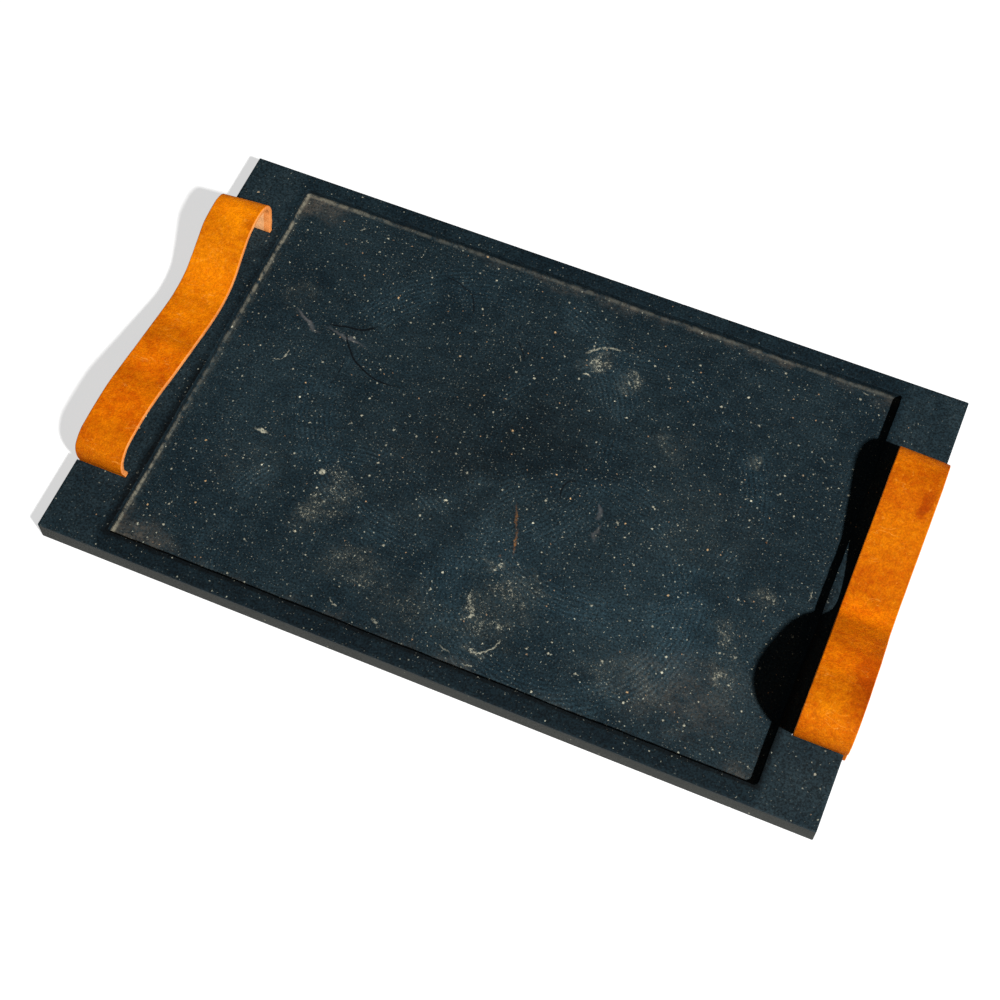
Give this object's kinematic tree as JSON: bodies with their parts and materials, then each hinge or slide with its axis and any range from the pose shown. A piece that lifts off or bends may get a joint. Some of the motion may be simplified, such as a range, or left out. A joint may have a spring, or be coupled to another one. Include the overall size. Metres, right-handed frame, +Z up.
{
  "type": "recessed granite slab with leather strap handles",
  "caption": "Rectangular dark granite slab with a shallow recess in its top and a leather strap handle across each short end.",
  "frame": {"origin": "centre of the slab's flat underside", "axes": "+Z up from the face it rests on, +X along the long side, +Y across towards the narrower rim of the recess"},
  "size_m": [0.493, 0.3, 0.0507],
  "materials": {
    "granite": "honed, dusty",
    "strap_leather": "matte vegetable tan",
    "insert_brass": "turned",
    "screw_steel": "satin"
  },
  "bodies": {
    "root": {"granite_slab": "granite", "handle_strap_left": "strap_leather", "handle_strap_right": "strap_leather", "insert_left_near": "insert_brass", "insert_left_far": "insert_brass", "insert_right_near": "insert_brass", "insert_right_far": "insert_brass", "screw_left_near": "screw_steel", "screw_left_far": "screw_steel", "screw_right_near": "screw_steel", "screw_right_far": "screw_steel"}
  },
  "joints": []
}
